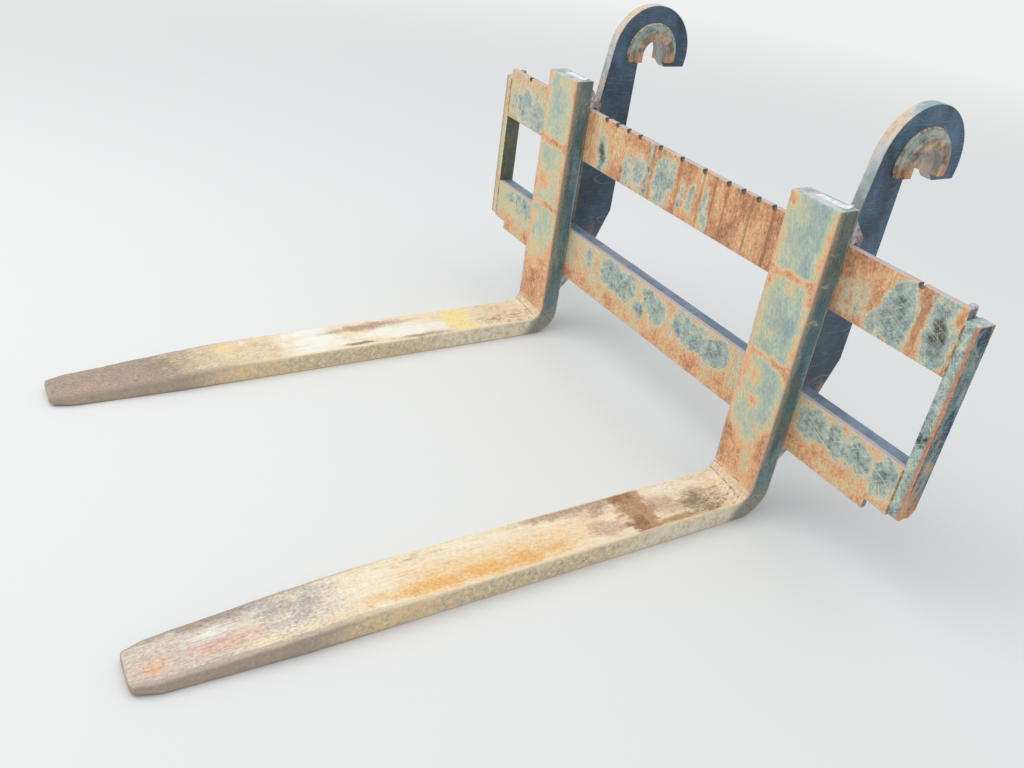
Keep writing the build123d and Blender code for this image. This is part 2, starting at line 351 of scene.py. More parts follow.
def worn_paint(g, field, seed, stretch=(1, 1, 1.6)):
    """Colour and mask of worn paint: cream fringe, mottled teal, near black where the field is over 1.5."""
    ragged = g.plus(field, g.swing(0.007, 0.17, stretch, seed=seed), g.swing(0.024, 0.36, stretch, seed=seed + 2))
    tone = g.plus(
        g.swing(0.006, 0.12, stretch, seed=seed + 3), g.swing(0.02, 0.32, seed=seed + 4),
        g.swing(0.06, 0.18, seed=seed + 5), g.times(g.ramp(ragged, 0.25, 0.85), 0.52),
        g.times(g.ramp(field, 1.05, 1.95), 0.42),
    )
    colour = g.tones(
        tone, (0.1, CREAM_TAN), (0.2, SAGE_CREAM), (0.32, SAGE), (0.43, TEAL), (0.56, TEAL_BLUE), (0.72, TEAL_DEEP),
        (0.98, CHARCOAL),
    )
    marks = g.most(
        g.scratches(24, 0.06, 0.0014, 0.62, seed), g.scratches(-38, 0.05, 0.0012, 0.64, seed + 1),
        g.scratches(66, 0.07, 0.0012, 0.64, seed + 2),
    )
    colour = g.over(colour, CREAM_LIGHT, marks, 0.42)
    kept = g.times(g.ramp(ragged, 0.3, 0.48), g.ramp(field, 0.0, 0.6))
    return g.grained(colour, 0.34, 0.0042, seed=seed + 1), kept


def slate_paint(g, seed):
    """Sound blue paint with dust, grime along the rail and fine scratches."""
    colour = g.over(SLATE, SLATE_PALE, g.cloud(0.06, 0.5, 0.12, detail=4, seed=seed))
    grime_and_shade = g.cloud(0.01, 0.54, 0.08, (6, 1, 1), detail=6, rough=0.7, seed=seed + 4)
    left = g.level(0.15, 0.65, g.ramp(g.wander(g.x, 0.1, 0.12, seed=seed + 5), 0.35, -0.15))
    colour = g.over(colour, MAUVE, grime_and_shade, left)
    colour = g.over(colour, DUST, g.cloud(0.003, 0.6, 0.07, seed=seed + 1), 0.25)
    marks = g.scratches(20, 0.07, 0.001, 0.62, seed + 2)
    return g.over(colour, TEAL, marks, g.cloud(0.05, 0.52, 0.06, seed=seed + 3), 0.45)


# Remains of paint on the rails' front: x, z, half width, half height in millimetres, strength
UPPER_PATCHES = (
    (-640, 526, 110, 64, 0.8), (-648, 524, 46, 42, 1.15), (-585, 514, 60, 38, 1.2), (-281, 518, 16, 42, 2.2),
    (-279, 512, 36, 56, 0.7), (-180, 510, 21, 38, 1.15), (-138, 522, 28, 52, 0.95), (-103, 530, 7, 70, 1.6),
    (-52, 530, 38, 68, 0.92), (-20, 548, 13, 44, 1.3), (18, 525, 10, 42, 0.9), (52, 532, 12, 38, 1.05),
    (99, 515, 15, 56, 0.78), (393, 568, 12, 15, 1.05), (510, 520, 70, 50, 0.5), (612, 540, 34, 60, 1.55),
    (578, 500, 30, 28, 1.15), (696, 540, 30, 66, 1.8), (708, 500, 22, 34, 0.95),
)
LOWER_PATCHES = (
    (-610, 266, 110, 36, 0.66), (-580, 262, 50, 30, 0.85), (-330, 276, 60, 20, 0.45), (-258, 258, 22, 30, 1.05),
    (-180, 256, 36, 42, 0.95), (-135, 254, 70, 38, 1.2), (-95, 252, 34, 40, 1.35), (-40, 220, 22, 24, 1.1),
    (-6, 277, 34, 14, 1.6), (14, 252, 50, 36, 1.05), (34, 240, 28, 28, 1.2), (180, 252, 100, 36, 1.25),
    (124, 254, 36, 34, 1.3), (206, 236, 40, 26, 0.95), (250, 250, 32, 36, 1.4), (519, 250, 42, 38, 1.35),
    (582, 250, 24, 38, 1.15), (637, 250, 36, 38, 1.3), (701, 246, 32, 44, 1.45), (610, 250, 140, 32, 0.75),
)
# Brown runs down the upper rail's front: x, half width, lowest height in millimetres, strength
UPPER_RUNS = (
    (-335, 4, 520, 0.5), (-90, 5, 480, 0.6), (3, 6, 480, 0.7), (80, 4, 480, 0.6), (117, 4, 478, 0.9),
    (154, 5, 490, 0.7), (227, 4, 478, 0.8), (288, 5, 478, 1.0), (655, 7, 480, 0.4),
)
# Latch notches, in millimetres from the middle
NOTCHES = (0, 76, 152, 196, 240, 284, 416, 636)
NOTCH_RADIUS = 0.0062


def rail_steel(name, low, high, patches, seed, pale, foot, drawn, fringe, notches=(), runs=()):
    """Rail: rusted front with remains of paint, paler to the left; blue top, back and bottom."""
    g = Surface(name)
    ragged_z = g.wander(g.z, 0.012, 0.03, (1, 1, 3), seed=seed)
    leftwards = g.ramp(g.wander(g.x, 0.1, 0.12, seed=seed + 14), 0.1, -0.55)
    bottom_band = g.ramp(ragged_z, low + 0.06, low + 0.026)
    shift = g.level(g.level(pale[0], pale[1], leftwards), foot, bottom_band)
    front = rust_body(g, seed, (1, 1, drawn), shift=shift)
    far_end = g.ramp(g.wander(g.x, 0.03, 0.03, seed=seed + 12), -0.67, -0.715)
    front = g.over(front, OLIVE_CREAM, far_end, 0.65)
    streaks = g.cloud(0.0042, 0.56, 0.1, (1, 1, 6 * drawn), seed=seed + 5)
    front = g.over(front, GREY_BROWN, streaks, 0.18 * drawn)
    ragged_x = g.wander(g.x, 0.003, 0.02, (1, 1, 3), seed=seed + 4)
    for *lengths, strength in runs:
        x, half_width, lowest = metres(*lengths)
        run = g.ramp(g.abs(g.minus(ragged_x, x)), half_width * 1.3, half_width * 0.3)
        front = g.over(front, RUST_BROWN, run, g.ramp(ragged_z, lowest - 0.01, lowest + 0.01), strength * 0.75)
    g.warp(0.034, (0.026, 0.0, 0.03), seed)
    spots = []
    for *lengths, strength in patches:
        x, z, half_width, half_height = metres(*lengths)
        spots.append(g.times(g.near((x, RAIL_FRONT, z), (half_width, 1.0, half_height)), strength))
    remains = g.most(*spots)
    halo = g.ramp(g.plus(remains, g.swing(0.02, 0.34, seed=seed + 10)), 0.05, 0.6)
    fringe_tone = g.grained(YELLOW_TAN, 0.4, seed=seed + 11)
    front = g.over(front, fringe_tone, halo, g.ramp(remains, 0.0, 0.1), fringe)
    paint_colour, paint = worn_paint(g, remains, seed + 6)
    front = g.over(front, paint_colour, paint, 0.94)
    plain = slate_paint(g, seed + 9)
    is_front = g.ramp(g.ny, -0.35, -0.8)
    colour = g.over(plain, front, is_front)
    line_z = g.wander(g.z, 0.002, 0.01, seed=seed)
    lip_line = g.band(line_z, high - 0.0022, high + 0.01, 0.0014)
    foot_line = g.band(line_z, low - 0.01, low + 0.0015, 0.001)
    lip = g.over(PALE_LINE, PEACH, g.cloud(0.03, 0.52, 0.1, detail=4, seed=seed + 8))
    colour = g.over(colour, lip, lip_line, g.ramp(g.y, RAIL_FRONT + 0.013, RAIL_FRONT + 0.009), 0.7)
    colour = g.over(colour, PEACH, foot_line, 0.5)
    if notches:
        from_middle = g.abs(g.x)
        below = g.most(g.minus(high - 0.003, g.z), 0.0)
        pits = []
        for place in metres(*notches):
            reach = g.distance(g.minus(from_middle, place), below)
            pits.append(g.ramp(reach, NOTCH_RADIUS + 0.0018, NOTCH_RADIUS - 0.0006))
        # Painted shade in the latch notches, with grime: darkest at the mouth, more mauve further in
        grime_and_shade = g.over(GRIT, MAUVE, g.ramp(g.y, RAIL_FRONT + 0.002, RAIL_FRONT + 0.008), 0.6)
        colour = g.over(colour, grime_and_shade, g.most(*pits), 0.9)
    back_rust = g.cloud(0.05, 0.56, 0.06, (1.5, 1, 1), detail=6, seed=seed + 3)
    colour = g.over(colour, rust_body(g, seed + 12), g.ramp(g.ny, 0.35, 0.8), back_rust, 0.85)
    height = g.plus(g.times(g.noise(0.006, detail=5, rough=0.7, seed=seed), 0.6), g.times(paint, 0.4))
    return g.finish(colour, g.level(0.5, 0.8, is_front), height, 0.0012)


def end_bar_steel():
    """End bar: teal remains in front, red corner, scratched blue outer face, pale top."""
    g = Surface("end_bar_steel")
    turned = g.abs(g.nx)
    out = g.abs(g.x)
    side = g.ramp(turned, 0.5, 0.85)
    zones = g.crumbs(0.05, (1, 1, 1.5), seed=33)
    strongest = g.level(0.8, 1.9, g.ramp(g.x, -0.1, 0.1))
    paint_colour, paint = worn_paint(g, g.level(0.25, strongest, zones), 34, (1, 1, 2.5))
    front = g.over(rust_body(g, 31), paint_colour, paint)
    front = g.over(front, OLIVE_CREAM, g.ramp(g.x, 0.1, -0.1), 0.5)
    corner_line = g.ramp(g.wander(out, 0.002, 0.012, (1, 1, 2), seed=40), RAIL_END + 0.016, RAIL_END + 0.022)
    corner_tone = g.over(RUST_DEEP, RUST_RED, g.cloud(0.02, 0.5, 0.1, detail=5, seed=41))
    front = g.over(front, corner_tone, corner_line, 0.8)
    shade = g.noise(0.03, (1, 1, 3), detail=8, rough=0.7, seed=35)
    shell = g.tones(shade, (0.36, SLATE_DARK), (0.46, SLATE_DEEP), (0.56, SIDE_PALE), (0.68, TEAL))
    marks = g.most(g.scratches(0, 0.012, 0.0012, 0.58, 42), g.lines(0.05, 0.012, (1, 1, 3), seed=36))
    shell = g.over(shell, TEAL, marks, 0.5)
    shell = g.over(shell, RUST, g.cloud(0.03, 0.58, 0.06, (1, 1, 2), detail=7, rough=0.7, seed=37), 0.8)
    foot = g.ramp(g.wander(g.z, 0.03, 0.04, seed=43), 0.27, 0.21)
    shell = g.over(shell, rust_body(g, 44), foot, 0.85)
    colour = g.over(front, shell, side)
    inner = g.ramp(out, RAIL_END + 0.004, RAIL_END + 0.002)
    colour = g.over(colour, SIDE_BROWN, side, inner, 0.8)
    top = g.ramp(g.nz, 0.5, 0.9)
    colour = g.over(colour, g.over(TEAL_BLUE, PALE_LINE, g.cloud(0.012, 0.5, 0.1, seed=38)), top)
    corner = g.times(g.ramp(turned, 0.25, 0.5), g.ramp(turned, 0.95, 0.75))
    colour = g.over(colour, RUST_LIGHT, corner, g.cloud(0.015, 0.45, 0.1, detail=5, seed=45), 0.8)
    height = g.noise(0.006, detail=5, rough=0.7, seed=39)
    return g.finish(g.grained(colour, 0.35, 0.004, seed=46), 0.72, height, 0.0012)


def hanger_paint():
    """Dark slate paint on the plates' faces, worn pale along their rims."""
    g = Surface("hanger_plate")
    shade = g.noise(0.1, (1, 1, 1.5), detail=6, rough=0.65, seed=51)
    face = g.tones(shade, (0.34, SLATE_DARK), (0.48, SLATE_DEEP), (0.6, SLATE_PALE), (0.78, SIDE_PALE))
    face = g.grained(face, 0.35, 0.004, seed=52)
    shaded = g.most(g.times(g.ramp(g.x, 0.1, -0.1), 0.35), g.times(g.ramp(g.z, 0.56, 0.42), 0.6))
    face = g.over(face, SLATE_DARK, shaded)
    arcs = g.lines(0.06, 0.008, (1, 2.5, 1), seed=53, warp=0.8)
    face = g.over(face, DUST, arcs, g.cloud(0.07, 0.53, 0.05, seed=60), 0.45)
    scuffs = g.most(g.scratches(-30, 0.05, 0.0012, 0.66, 62), g.scratches(60, 0.04, 0.001, 0.67, 63))
    face = g.over(face, TEAL_BLUE, scuffs, 0.28)
    zones = g.noise(0.09, (1, 1, 1.5), detail=5, rough=0.65, seed=54)
    rim = g.tones(zones, (0.38, TEAL_BLUE), (0.5, PALE_LINE), (0.6, SAND), (0.74, PEACH))
    rim = g.over(rim, MAUVE, g.cloud(0.012, 0.56, 0.07, detail=5, seed=55), 0.45)
    is_rim = g.ramp(g.abs(g.nx), 0.92, 0.7)
    colour = g.over(face, rim, is_rim)
    neck = g.ramp(g.z, HOOK_Z, HOOK_Z - 0.03)
    colour = g.over(colour, BAND_DARK, neck, g.ramp(g.ny, 0.3, 0.7), 0.75)
    foot = g.ramp(g.wander(g.z, 0.03, 0.04, seed=56), 0.3, 0.2)
    colour = g.over(colour, rust_body(g, 57), foot, g.cloud(0.03, 0.47, 0.08, detail=5, seed=58), 0.6)
    return g.finish(colour, g.level(0.45, 0.7, is_rim), g.noise(0.01, detail=4, seed=59), 0.0008, specular=0.5)


def collar_steel():
    """Stepped collars: blue-grey flange, brown step, rusted ends, bare seat."""
    g = Surface("collar_steel")
    seat = g.distance(g.minus(g.y, HOOK_Y), g.minus(g.z, HOOK_Z))
    shade = g.noise(0.025, detail=7, rough=0.7, seed=61)
    face = g.tones(shade, (0.36, TEAL_DEEP), (0.47, TEAL_BLUE), (0.56, TEAL), (0.66, PALE_LINE))
    step = g.tones(shade, (0.36, GRIT), (0.47, GREY_BROWN), (0.56, MAUVE_BROWN), (0.66, SAND))
    colour = g.over(face, step, g.ramp(g.wander(seat, 0.002, 0.01, seed=62), 0.0595, 0.0565))
    low = g.ramp(g.wander(g.z, 0.012, 0.02, seed=63), HOOK_Z + 0.012, HOOK_Z - 0.008)
    colour = g.over(colour, rust_body(g, 64), low, 0.8)
    colour = g.over(colour, BARE, g.ramp(seat, 0.038, 0.0365))
    return g.finish(colour, 0.55, g.noise(0.006, detail=4, seed=65), 0.0008)


def bare_steel():
    """Bare pin steel with rust in patches."""
    g = Surface("pin_steel")
    rusty = g.cloud(0.01, 0.55, 0.05, detail=6, seed=72)
    colour = g.over(BARE, GRIT, g.cloud(0.006, 0.5, 0.12, detail=5, seed=71), 0.5)
    colour = g.over(colour, RUST_BROWN, rusty, 0.8)
    height = g.noise(0.003, detail=4, seed=73)
    return g.finish(colour, g.level(0.34, 0.7, rusty), height, 0.0004, metallic=g.level(0.9, 0.0, rusty))


def weld_steel():
    """Weld beads: brown and tan rust with remains of paint."""
    g = Surface("weld_steel")
    shade = g.noise(0.02, detail=7, rough=0.7, seed=81)
    colour = g.tones(shade, (0.34, RUST_BROWN), (0.45, GREY_BROWN), (0.54, SAND), (0.64, TEAL_BLUE))
    return g.finish(g.grained(colour, 0.4, seed=83), 0.62, g.noise(0.002, detail=4, seed=84), 0.0005)


def hook_steel():
    """Fork hooks: pale lilac-grey paint under tan and brown grime."""
    g = Surface("hook_steel")
    shade = g.noise(0.03, detail=7, rough=0.7, seed=91)
    colour = g.tones(shade, (0.34, GREY_BROWN), (0.44, MAUVE), (0.52, PALE_LINE), (0.62, TEAL_BLUE))
    colour = g.over(colour, RUST_BROWN, g.cloud(0.012, 0.58, 0.07, detail=5, seed=92), 0.6)
    return g.finish(g.grained(colour, 0.35, seed=93), 0.7, g.noise(0.005, detail=5, rough=0.7, seed=94), 0.0012)


def label_white():
    """Bare sticker foil, a little dirty."""
    g = Surface("sticker_white")
    colour = g.over(LABEL_WHITE, PALE_LINE, g.cloud(0.012, 0.55, 0.1, detail=4, seed=96))
    colour = g.over(colour, GRIT, g.specks(0.006, 0.1, 0.25, seed=97), 0.7)
    return g.finish(colour, 0.35, g.noise(0.01, seed=98), 0.0003)


# Stains on the blades' top: x, y, half width, half length in millimetres, colour, strength
RIGHT_BLADE = (
    (0, -700, 120, 130, WHITE_LILAC, 1.1), (16, -735, 30, 44, APRICOT, 0.62), (-48, -640, 18, 130, MAUVE, 0.95),
    (14, -620, 20, 70, PINK, 0.9), (-12, -660, 14, 100, WHITE_GREEN, 0.6), (0, -500, 80, 120, WHITE_GREEN, 0.65),
    (-10, -500, 60, 100, GREY_VIOLET, 0.58), (40, -470, 14, 120, CREAM, 0.8), (0, -390, 60, 80, CREAM_LIGHT, 0.7),
    (18, -160, 44, 250, OCHRE, 0.85), (36, -200, 22, 230, OCHRE_DEEP, 0.9), (-30, -180, 30, 170, CREAM_LIGHT, 0.5),
    (-52, 35, 18, 130, MAUVE_BROWN, 1.05), (-36, 100, 24, 46, MAUVE_BROWN, 0.8), (26, 94, 24, 42, PINK_TAN, 1.0),
    (0, 177, 200, 40, BAND_BROWN, 1.4), (40, 165, 30, 30, BAND_DARK, 0.85), (-48, 160, 22, 30, BAND_DARK, 0.6),
    (2, 247, 30, 36, PINK_TAN, 1.0), (50, 250, 12, 60, BAND_BROWN, 0.9), (-40, 290, 24, 80, CREAM_LIGHT, 0.85),
    (24, 325, 40, 60, GREY_BROWN, 0.78),
)
LEFT_BLADE = (
    (0, -660, 160, 220, MAUVE, 1.25), (30, -640, 36, 140, MAUVE_BROWN, 0.6), (0, -510, 60, 60, GREY_BROWN, 0.6),
    (0, -430, 140, 100, SAND, 0.8), (-14, -395, 50, 30, YELLOW, 0.62), (0, -310, 80, 80, SAND, 0.65),
    (0, -185, 110, 85, WHITE_GREEN, 0.95), (-28, -30, 20, 130, MAUVE_BROWN, 1.0),
    (12, 50, 36, 160, WHITE_GREEN, 0.95), (44, -80, 7, 60, GREY_BROWN, 1.0), (50, 90, 12, 90, MAUVE, 0.8),
    (0, 203, 200, 34, YELLOW, 1.4), (0, 310, 80, 70, SAND, 0.4),
)
# Shifts of the shanks' front down to rust or up to paint: x, z, half width, half height in millimetres, shift
RIGHT_SHANK = (
    (0, 520, 200, 10, -0.54), (0, 498, 200, 16, -0.2), (46, 556, 16, 26, -0.3), (-50, 655, 20, 14, -0.3),
    (12, 590, 40, 50, 0.1), (12, 425, 40, 44, 0.14), (48, 380, 14, 20, -0.25), (0, 346, 200, 10, -0.54),
    (0, 326, 200, 12, -0.14), (-32, 270, 36, 50, -0.2), (-12, 300, 16, 20, -0.2), (0, 252, 20, 14, -0.36),
    (26, 250, 20, 50, 0.1),
)
LEFT_SHANK = (
    (0, 505, 200, 11, -0.42), (4, 590, 46, 50, 0.14), (-24, 455, 24, 28, 0.1), (-26, 395, 26, 30, -0.3),
    (20, 430, 34, 50, -0.12), (0, 343, 200, 9, -0.46), (-10, 270, 60, 50, -0.08), (10, 210, 60, 40, -0.16),
    (0, 158, 200, 4, -0.4),
)


def blade_top(g, side, stains):
    """Colour of the blade's top face, from the heel to the tip."""
    shade = g.noise(0.018, (1, 6, 1), detail=8, rough=0.7, seed=102)
    colour = g.tones(shade, (0.32, SAND), (0.43, CREAM), (0.54, CREAM), (0.64, CREAM_LIGHT), (0.76, WHITE_GREEN))
    ragged = g.plus(
        g.swing(0.009, 0.2, (1, 2.5, 1), seed=107), g.swing(0.005, 0.17, (1, 30, 1), seed=108),
        g.swing(0.034, 0.36, (1, 1.5, 1), seed=113),
    )
    g.warp(0.05, (0.014, 0.05, 0.0), 108)
    for *lengths, stain, strength in stains:
        x, y, half_x, half_y = metres(*lengths)
        field = g.times(g.near((side * FORK_X + x, y, 0.03), (half_x, half_y, 1.0)), strength)
        colour = g.over(colour, stain, g.eaten(field, ragged), 0.92)
    speckle_zone = g.band(g.wander(g.y, 0.06, 0.05, seed=105), -0.58, -0.43, 0.07)
    specks = g.cloud(0.0034, 0.54, 0.09, (1, 1.6, 1), detail=5, rough=0.7, seed=106)
    colour = g.over(colour, MAUVE, speckle_zone, specks, 0.5)
    middle = side * FORK_X
    heel = g.ramp(g.wander(g.y, 0.02, 0.03, seed=109), 0.22, 0.3)
    grit = g.cloud(0.006, 0.55, 0.07, (1, 2, 1), detail=6, rough=0.7, seed=110)
    colour = g.over(colour, BAND_DARK, heel, grit, g.level(0.25, 0.75, g.ramp(g.x, middle - 0.02, middle + 0.03)))
    strands = g.cloud(0.002, 0.58, 0.08, (1, 50, 1), detail=2, seed=111)
    colour = g.over(colour, MAUVE_BROWN, strands, g.level(0.2, 0.7, g.ramp(g.y, -0.45, -0.62)))
    return g.grained(colour, 0.42, 0.004, (1, 1.6, 1), seed=112)


def shank_front(g, side, shifts):
    """Colour of the shank's front: panels of blue paint between bands of rust."""
    across = g.minus(g.x, side * FORK_X)
    low, high = (0.4, 1.02) if side > 0 else (0.34, 0.86)
    value = g.level(low, high, g.crumbs(0.05, seed=121 + side))
    margin = g.ramp(g.wander(g.abs(across), 0.014, 0.03, (1, 1, 2), seed=125), 0.032, 0.058)
    value = g.minus(value, g.times(margin, 0.34))
    foot = g.ramp(g.wander(g.z, 0.04, 0.06, (1, 1, 2), seed=127), 0.24, 0.13)
    value = g.minus(value, g.times(foot, 0.5))
    g.warp(0.04, (0.014, 0.0, 0.01), 123)
    for *lengths, shift in shifts:
        x, z, half_x, half_z = metres(*lengths)
        spot = g.near((side * FORK_X + x, SHANK_FRONT, z), (half_x, 1.0, half_z))
        value = g.plus(value, g.times(spot, shift))
    value = g.plus(value, g.swing(0.01, 0.12, (1, 1, 2), seed=126))
    colour = g.tones(
        value, (0.04, RUST_DEEP), (0.15, RUST_LIGHT), (0.26, APRICOT), (0.37, CREAM_TAN), (0.47, OLIVE_CREAM),
        (0.58, SAGE), (0.72, TEAL), (0.96, TEAL_BLUE),
    )
    inwards = g.ramp(g.wander(g.times(across, side), 0.03, 0.04, seed=151), 0.02, -0.05)
    colour = g.over(colour, OLIVE_CREAM, inwards, g.ramp(value, 0.4, 0.55), 0.4)
    colour = g.over(colour, rust_body(g, 160 + side, (1, 1, 2)), g.ramp(value, 0.24, 0.08))
    marks = g.most(g.scratches(70, 0.05, 0.0012, 0.62, 128), g.scratches(15, 0.04, 0.0012, 0.63, 130))
    colour = g.over(colour, CREAM_LIGHT, marks, 0.35)
    return g.grained(colour, 0.22, 0.004, (1, 1, 2), seed=129)


def shank_side(g):
    """Colour of the shank's sides and back: teal, brown at the head, tan in front and at the heel."""
    shade = g.noise(0.03, (1, 1, 4), detail=8, rough=0.72, seed=131)
    colour = g.tones(shade, (0.34, SIDE_DARK), (0.47, SIDE_MID), (0.6, SIDE_PALE), (0.74, DUST))
    brown = g.cloud(0.04, 0.57, 0.07, (1, 1, 2), detail=6, rough=0.7, seed=132)
    brown = g.most(brown, g.ramp(g.wander(g.z, 0.03, 0.05, seed=130), 0.56, 0.65))
    colour = g.over(colour, SIDE_BROWN, brown, 0.65)
    colour = g.over(colour, TEAL_DEEP, g.ramp(g.wander(g.z, 0.04, 0.05, seed=146), 0.2, 0.1), 0.55)
    forwards = g.wander(g.y, 0.01, 0.02, (1, 1, 2), seed=149)
    forwards = g.ramp(forwards, SHANK_FRONT + 0.021, SHANK_FRONT + 0.006)
    colour = g.over(colour, TAUPE, forwards, g.ramp(g.z, 0.1, 0.16), 0.72)
    colour = g.over(colour, TAUPE, g.ramp(g.wander(g.z, 0.02, 0.03, seed=152), 0.09, 0.03), 0.55)
    marks = g.lines(0.03, 0.009, (1, 3, 1), seed=133, warp=0.8)
    colour = g.over(colour, DUST, marks, g.cloud(0.04, 0.52, 0.05, seed=134), 0.6)
    return g.grained(colour, 0.4, 0.004, seed=140)


def blade_side(g):
    """Colour of the blade's sides: dusty cream, mauve towards the tip."""
    grit = g.noise(0.008, detail=7, rough=0.76, seed=136)
    colour = g.tones(grit, (0.32, GREY_BROWN), (0.4, DUST), (0.5, SAND), (0.62, CREAM))
    heelwards = g.ramp(g.wander(g.y, 0.05, 0.05, seed=147), 0.02, 0.2)
    colour = g.over(colour, WHITE_GREEN, heelwards, g.cloud(0.02, 0.46, 0.12, detail=7, seed=148), 0.5)
    middle = g.band(g.wander(g.y, 0.06, 0.05, seed=137), -0.44, -0.28, 0.04)
    colour = g.over(colour, OCHRE, middle, g.cloud(0.02, 0.5, 0.1, detail=5, seed=138), 0.7)
    return g.over(colour, MAUVE, g.ramp(g.y, -0.4, -0.52), 0.7)


def fork_steel(name, side, stains, shifts):
    """Fork arm: panels of paint and rust on the shank, a dusty worn blade."""
    g = Surface(name)
    upright = g.over(shank_side(g), shank_front(g, side, shifts), g.ramp(g.ny, -0.35, -0.75))
    cap = g.over(PALE_LINE, TEAL_BLUE, g.cloud(0.03, 0.5, 0.1, detail=6, seed=135))
    upright = g.over(upright, cap, g.ramp(g.nz, 0.6, 0.9))
    blade = g.over(blade_side(g), blade_top(g, side, stains), g.ramp(g.nz, 0.45, 0.8))
    diagonal = g.plus(g.y, g.z)
    on_top = g.ramp(g.wander(diagonal, 0.004, 0.02, seed=142), 0.477, 0.457)
    sloped = g.minus(g.wander(g.y, 0.012, 0.02, seed=150), g.times(g.math("MINIMUM", g.z, 0.05), 0.7))
    is_blade = g.level(on_top, g.ramp(sloped, 0.394, 0.358), g.ramp(g.abs(g.nx), 0.45, 0.75))
    colour = g.over(upright, blade, is_blade)
    slanted = g.plus(diagonal, g.times(g.minus(g.x, side * FORK_X), 0.1))
    # Painted highlight: a cream band across the middle of the heel's inner bend
    heel_highlight = g.times(g.band(slanted, 0.464, 0.489, 0.003), g.ramp(g.nz, 0.12, 0.2), g.ramp(g.z, 0.12, 0.1))
    heel_highlight_tone = g.over(CREAM, SAND, g.cloud(0.008, 0.5, 0.1, detail=5, seed=139))
    colour = g.over(colour, heel_highlight_tone, heel_highlight, 0.75)
    # Painted shade: dark lines along both edges of that band, in the heel's creases
    crease_shade = g.most(g.band(diagonal, 0.4885, 0.4905, 0.0012), g.band(slanted, 0.4615, 0.464, 0.0012))
    crease_shade = g.times(crease_shade, g.ramp(g.z, 0.12, 0.1), g.ramp(g.y, 0.36, 0.38))
    colour = g.over(colour, GRIT, crease_shade, g.cloud(0.02, 0.47, 0.06, detail=5, seed=143), 0.8)
    wear = g.new("Attribute", attribute_name="edge").outputs["Fac"]
    wear = g.times(wear, g.level(0.3, 1.7, g.noise(0.02, detail=6, rough=0.7, seed=144)))
    edge_tone = g.over(g.over(PINK_TAN, CREAM, is_blade), MAUVE, is_blade, g.ramp(g.y, -0.25, -0.5), 0.9)
    colour = g.over(colour, g.grained(edge_tone, 0.4, seed=145), g.ramp(wear, 0.6, 1.0), 0.55)
    return g.finish(colour, g.level(0.64, 0.82, is_blade), g.noise(0.005, detail=6, rough=0.7, seed=141), 0.001)


def mesh_piece(name, vertices, faces, material, body):
    """One smooth mesh object that rides on a body."""
    mesh = bpy.data.meshes.new(name)
    mesh.from_pydata(vertices, [], faces)
    mesh.validate()
    mesh.materials.append(material)
    mesh.shade_smooth()
    piece = add(name, mesh)
    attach(piece, body)
    return piece


def ripple(value, seed, size):
    """Smooth noise along one line, from -1 to 1."""
    return noise.noise(Vector((value / size, seed * 3.7, seed * 1.3)))


def ease(value, low, high):
    """0 below low, 1 above high, smooth between."""
    share = min(1.0, max(0.0, (value - low) / (high - low)))
    return share * share * (3 - 2 * share)


def blade_top_height(y):
    """Height of the blade's top face: level, then falling to the tip."""
    share = min(1.0, max(0.0, (y - TIP_FRONT) / TAPER_LENGTH))
    return TIP_THICKNESS + (BLADE_THICKNESS - TIP_THICKNESS) * share


# Plan of the blade's tip: distance from the tip and half width there
TIP_PLAN = (
    (0.0, 0.0328), (0.0006, 0.0362), (0.0022, 0.0389), (0.0045, 0.0406), (0.0066, 0.0414), (0.04, 0.051),
    (0.26, 0.06),
)


def plan_half_width(y):
    """Half width of the blade, with rounded corners at the tip."""
    from_tip = y - TIP_FRONT
    for (start, narrow), (stop, wide) in zip(TIP_PLAN, TIP_PLAN[1:]):
        if from_tip <= stop:
            return narrow + (wide - narrow) * max(0.0, from_tip - start) / (stop - start)
    return FORK_WIDTH / 2


def blade_section(y_top, y_bottom, shrink):
    """Section of the blade through a point of its top and one of its bottom."""
    bevel = max(0.0, 1 - (y_bottom - TIP_FRONT) / TIP_BEVEL)
    return (y_top, blade_top_height(y_top)), (y_bottom, TIP_RISE * bevel), shrink


def arm_sections():
    """Inner point, outer point and shrink of each section, from the tip to the shank's top."""
    inner_y = SHANK_FRONT - HEEL_INNER
    inner_z = blade_top_height(inner_y) + HEEL_INNER
    outer_y, outer_z = SHANK_BACK - HEEL_OUTER, HEEL_OUTER
    tip_round, top_round = 0.006, 0.003
    cap_steps, blade_steps, heel_steps, shank_steps = 5, 300, 26, 150
    quarter = [math.radians(90 * step / cap_steps) for step in range(cap_steps + 1)]
    sections = []
    for angle in quarter:
        y = TIP_FRONT + tip_round * (1 - math.cos(angle))
        sections.append(blade_section(y, y, tip_round * (1 - math.sin(angle))))
    start = TIP_FRONT + tip_round
    for step in range(1, blade_steps):
        share = step / blade_steps
        sections.append(blade_section(start + share * (inner_y - start), start + share * (outer_y - start), 0.0))
    for step in range(heel_steps):
        angle = math.radians(90 * step / heel_steps)
        across, up = math.sin(angle), math.cos(angle)
        inner = (inner_y + HEEL_INNER * across, inner_z - HEEL_INNER * up)
        outer = (outer_y + HEEL_OUTER * across, outer_z - HEEL_OUTER * up)
        sections.append((inner, outer, 0.0))
    end = FORK_HEIGHT - top_round
    for step in range(shank_steps):
        share = step / shank_steps
        inner = (SHANK_FRONT, inner_z + share * (end - inner_z))
        outer = (SHANK_BACK, outer_z + share * (end - outer_z))
        sections.append((inner, outer, 0.0))
    for angle in quarter:
        z = FORK_HEIGHT - top_round * (1 - math.sin(angle))
        sections.append(((SHANK_FRONT, z), (SHANK_BACK, z), top_round * (1 - math.cos(angle))))
    return sections


